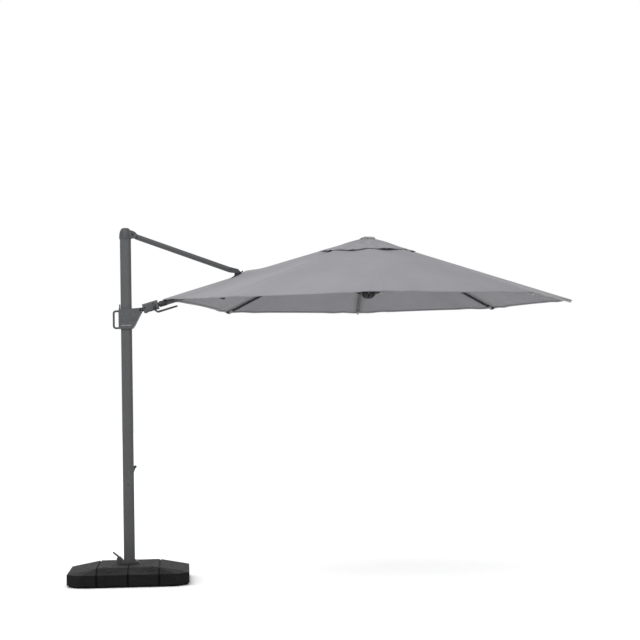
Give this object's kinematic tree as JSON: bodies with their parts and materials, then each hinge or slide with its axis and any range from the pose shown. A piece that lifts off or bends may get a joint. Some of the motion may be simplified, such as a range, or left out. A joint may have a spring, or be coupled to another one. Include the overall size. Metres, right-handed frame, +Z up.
{
  "type": "cantilever parasol",
  "caption": "Cantilever garden parasol: octagonal vented canopy on a tilting, twisting boom hung beside a swivelling mast, on a weighted tank base.",
  "frame": {"origin": "on the floor under the mast's axis, at the middle of the cross base's underside", "axes": "+Z up, +X from the mast towards the canopy along the boom, the crank on the +Y side, at the back of the mast"},
  "size_m": [3.7102, 3, 2.565],
  "materials": {
    "base_steel": "matte",
    "base_plastic": "matte",
    "dark_plastic": "satin",
    "frame_metal": "satin",
    "rib_bar": "satin",
    "steel": "satin",
    "cloth": "matte"
  },
  "bodies": {
    "base": {"cross_base": "base_steel", "swivel_socket": "base_steel", "tank_front_right": "base_plastic", "tank_back_right": "base_plastic", "tank_back_left": "base_plastic", "tank_front_left": "base_plastic", "fill_cap_front_right": "dark_plastic", "fill_cap_back_right": "dark_plastic", "fill_cap_back_left": "dark_plastic", "fill_cap_front_left": "dark_plastic"},
    "mast": {"mast_foot": "dark_plastic", "mast_tube": "frame_metal", "mast_cap": "dark_plastic", "cap_pin": "steel", "crank_housing": "dark_plastic"},
    "pedal": {"foot_pedal": "dark_plastic"},
    "crank": {"crank_arm": "dark_plastic"},
    "knob": {"crank_knob": "dark_plastic"},
    "slider": {"slider_body": "frame_metal", "slider_handle": "dark_plastic", "slider_pin": "steel"},
    "catch": {"slider_catch": "dark_plastic"},
    "carrier": {"pivot_yoke": "dark_plastic", "tilt_barrel": "frame_metal", "boom_collar": "dark_plastic", "bracket_pin": "steel"},
    "lever": {"tilt_lever": "steel"},
    "arm": {"arm_tube": "frame_metal", "arm_upper_end": "dark_plastic", "arm_lower_end": "dark_plastic"},
    "boom": {"boom_neck": "dark_plastic", "boom_tube": "frame_metal", "crown_hub": "dark_plastic", "finial": "cloth"},
    "runner": {"runner": "dark_plastic"},
    "spoke_0": {"rib_0": "rib_bar", "canopy_panel_0": "cloth"},
    "spoke_1": {"rib_1": "rib_bar", "canopy_panel_1": "cloth"},
    "spoke_2": {"rib_2": "rib_bar", "canopy_panel_2": "cloth"},
    "spoke_3": {"rib_3": "rib_bar", "canopy_panel_3": "cloth"},
    "spoke_4": {"rib_4": "rib_bar", "canopy_panel_4": "cloth"},
    "spoke_5": {"rib_5": "rib_bar", "canopy_panel_5": "cloth"},
    "spoke_6": {"rib_6": "rib_bar", "canopy_panel_6": "cloth"},
    "spoke_7": {"rib_7": "rib_bar", "canopy_panel_7": "cloth"},
    "strut_0": {"stretcher_0": "rib_bar"},
    "strut_1": {"stretcher_1": "rib_bar"},
    "strut_2": {"stretcher_2": "rib_bar"},
    "strut_3": {"stretcher_3": "rib_bar"},
    "strut_4": {"stretcher_4": "rib_bar"},
    "strut_5": {"stretcher_5": "rib_bar"},
    "strut_6": {"stretcher_6": "rib_bar"},
    "strut_7": {"stretcher_7": "rib_bar"}
  },
  "joints": [
    {"name": "mast_swivel", "type": "hinge", "parent": "base", "child": "mast", "pos_m": [0, 0, 0.14], "axis": [0, 0, 1], "continuous": true},
    {"name": "pedal_press", "type": "hinge", "parent": "mast", "child": "pedal", "pos_m": [-0.07, 0, 0.168], "axis": [0, -1, 0], "range_deg": [0, 20], "stiffness_Nm_per_rad": 3, "springref_deg": -11.46},
    {"name": "crank_turn", "type": "hinge", "parent": "mast", "child": "crank", "pos_m": [0, 0, 0.7], "axis": [0, 1, 0], "range_deg": [0, 2681]},
    {"name": "knob_spin", "type": "hinge", "parent": "crank", "child": "knob", "pos_m": [0.046, 0, 0.826], "axis": [0, 1, 0], "continuous": true},
    {"name": "slider_slide", "type": "slide", "parent": "mast", "child": "slider", "axis": [0, 0, 1], "range_m": [-0.6476, 0]},
    {"name": "catch_pull", "type": "hinge", "parent": "slider", "child": "catch", "pos_m": [-0.046, 0, 1.9795], "axis": [0, -1, 0], "range_deg": [0, 10], "stiffness_Nm_per_rad": 1, "springref_deg": -11.46},
    {"name": "boom_tilt", "type": "hinge", "parent": "slider", "child": "carrier", "pos_m": [0.105, 0, 1.965], "axis": [0, -1, 0], "range_deg": [0, 30]},
    {"name": "lever_press", "type": "hinge", "parent": "carrier", "child": "lever", "pos_m": [0.20882, 0, 1.99477], "axis": [0, 1, 0], "range_deg": [0, 25], "stiffness_Nm_per_rad": 2, "springref_deg": -17.19},
    {"name": "arm_swing", "type": "hinge", "parent": "mast", "child": "arm", "pos_m": [0.055, 0, 2.518], "axis": [0, -1, 0], "range_deg": [-29.1, 0]},
    {"name": "boom_twist", "type": "hinge", "parent": "carrier", "child": "boom", "pos_m": [0.20113, 0, 1.99256], "axis": [0.9613, 0, 0.2756], "range_deg": [-20, 20]},
    {"name": "runner_slide", "type": "slide", "parent": "boom", "child": "runner", "axis": [0, 0, -1], "range_m": [0, 0.8418]},
    {"name": "rib_fold_0", "type": "hinge", "parent": "boom", "child": "spoke_0", "pos_m": [1.815, 0, 2.438], "axis": [0, 1, 0], "range_deg": [0, 62.3], "deforming": ["canopy_panel_0"]},
    {"name": "rib_fold_1", "type": "hinge", "parent": "boom", "child": "spoke_1", "pos_m": [1.80035, 0.03535, 2.438], "axis": [-0.7071, 0.7071, 0], "range_deg": [0, 62.3], "deforming": ["canopy_panel_1"]},
    {"name": "rib_fold_2", "type": "hinge", "parent": "boom", "child": "spoke_2", "pos_m": [1.765, 0.05, 2.438], "axis": [-1, 0, 0], "range_deg": [0, 62.3], "deforming": ["canopy_panel_2"]},
    {"name": "rib_fold_3", "type": "hinge", "parent": "boom", "child": "spoke_3", "pos_m": [1.72965, 0.03535, 2.438], "axis": [-0.7071, -0.7071, 0], "range_deg": [0, 62.3], "deforming": ["canopy_panel_3"]},
    {"name": "rib_fold_4", "type": "hinge", "parent": "boom", "child": "spoke_4", "pos_m": [1.715, 0, 2.382], "axis": [0, -1, 0], "range_deg": [0, 67.5], "deforming": ["canopy_panel_4"]},
    {"name": "rib_fold_5", "type": "hinge", "parent": "boom", "child": "spoke_5", "pos_m": [1.72965, -0.03535, 2.438], "axis": [0.7071, -0.7071, 0], "range_deg": [0, 62.3], "deforming": ["canopy_panel_5"]},
    {"name": "rib_fold_6", "type": "hinge", "parent": "boom", "child": "spoke_6", "pos_m": [1.765, -0.05, 2.438], "axis": [1, 0, 0], "range_deg": [0, 62.3], "deforming": ["canopy_panel_6"]},
    {"name": "rib_fold_7", "type": "hinge", "parent": "boom", "child": "spoke_7", "pos_m": [1.80035, -0.03535, 2.438], "axis": [0.7071, 0.7071, 0], "range_deg": [0, 62.3], "deforming": ["canopy_panel_7"]},
    {"name": "strut_fold_0", "type": "hinge", "parent": "spoke_0", "child": "strut_0", "pos_m": [2.40527, 0, 2.24833], "axis": [0, 1, 0], "range_deg": [-124.6, 0]},
    {"name": "strut_fold_1", "type": "hinge", "parent": "spoke_1", "child": "strut_1", "pos_m": [2.21774, 0.45274, 2.24833], "axis": [-0.7071, 0.7071, 0], "range_deg": [-124.6, 0]},
    {"name": "strut_fold_2", "type": "hinge", "parent": "spoke_2", "child": "strut_2", "pos_m": [1.765, 0.64027, 2.24833], "axis": [-1, 0, 0], "range_deg": [-124.6, 0]},
    {"name": "strut_fold_3", "type": "hinge", "parent": "spoke_3", "child": "strut_3", "pos_m": [1.31226, 0.45274, 2.24833], "axis": [-0.7071, -0.7071, 0], "range_deg": [-124.6, 0]},
    {"name": "strut_fold_4", "type": "hinge", "parent": "spoke_4", "child": "strut_4", "pos_m": [1.15117, 0, 2.22033], "axis": [0, -1, 0], "range_deg": [-135, 0]},
    {"name": "strut_fold_5", "type": "hinge", "parent": "spoke_5", "child": "strut_5", "pos_m": [1.31226, -0.45274, 2.24833], "axis": [0.7071, -0.7071, 0], "range_deg": [-124.6, 0]},
    {"name": "strut_fold_6", "type": "hinge", "parent": "spoke_6", "child": "strut_6", "pos_m": [1.765, -0.64027, 2.24833], "axis": [1, 0, 0], "range_deg": [-124.6, 0]},
    {"name": "strut_fold_7", "type": "hinge", "parent": "spoke_7", "child": "strut_7", "pos_m": [2.21774, -0.45274, 2.24833], "axis": [0.7071, 0.7071, 0], "range_deg": [-124.6, 0]}
  ],
  "couplings": [
    {"joint": "slider_slide", "follows": "boom_tilt", "m_per_rad": -1.2363},
    {"joint": "arm_swing", "follows": "boom_tilt", "ratio": -0.96812},
    {"joint": "crank_turn", "follows": "runner_slide", "rad_per_m": 55.556},
    {"joint": "rib_fold_0", "follows": "runner_slide", "rad_per_m": 1.2893},
    {"joint": "rib_fold_1", "follows": "runner_slide", "rad_per_m": 1.2893},
    {"joint": "rib_fold_2", "follows": "runner_slide", "rad_per_m": 1.2893},
    {"joint": "rib_fold_3", "follows": "runner_slide", "rad_per_m": 1.2893},
    {"joint": "rib_fold_4", "follows": "runner_slide", "rad_per_m": 1.396},
    {"joint": "rib_fold_5", "follows": "runner_slide", "rad_per_m": 1.2893},
    {"joint": "rib_fold_6", "follows": "runner_slide", "rad_per_m": 1.2893},
    {"joint": "rib_fold_7", "follows": "runner_slide", "rad_per_m": 1.2893},
    {"joint": "strut_fold_0", "follows": "runner_slide", "rad_per_m": -2.5786},
    {"joint": "strut_fold_1", "follows": "runner_slide", "rad_per_m": -2.5786},
    {"joint": "strut_fold_2", "follows": "runner_slide", "rad_per_m": -2.5786},
    {"joint": "strut_fold_3", "follows": "runner_slide", "rad_per_m": -2.5786},
    {"joint": "strut_fold_4", "follows": "runner_slide", "rad_per_m": -2.7919},
    {"joint": "strut_fold_5", "follows": "runner_slide", "rad_per_m": -2.5786},
    {"joint": "strut_fold_6", "follows": "runner_slide", "rad_per_m": -2.5786},
    {"joint": "strut_fold_7", "follows": "runner_slide", "rad_per_m": -2.5786}
  ]
}
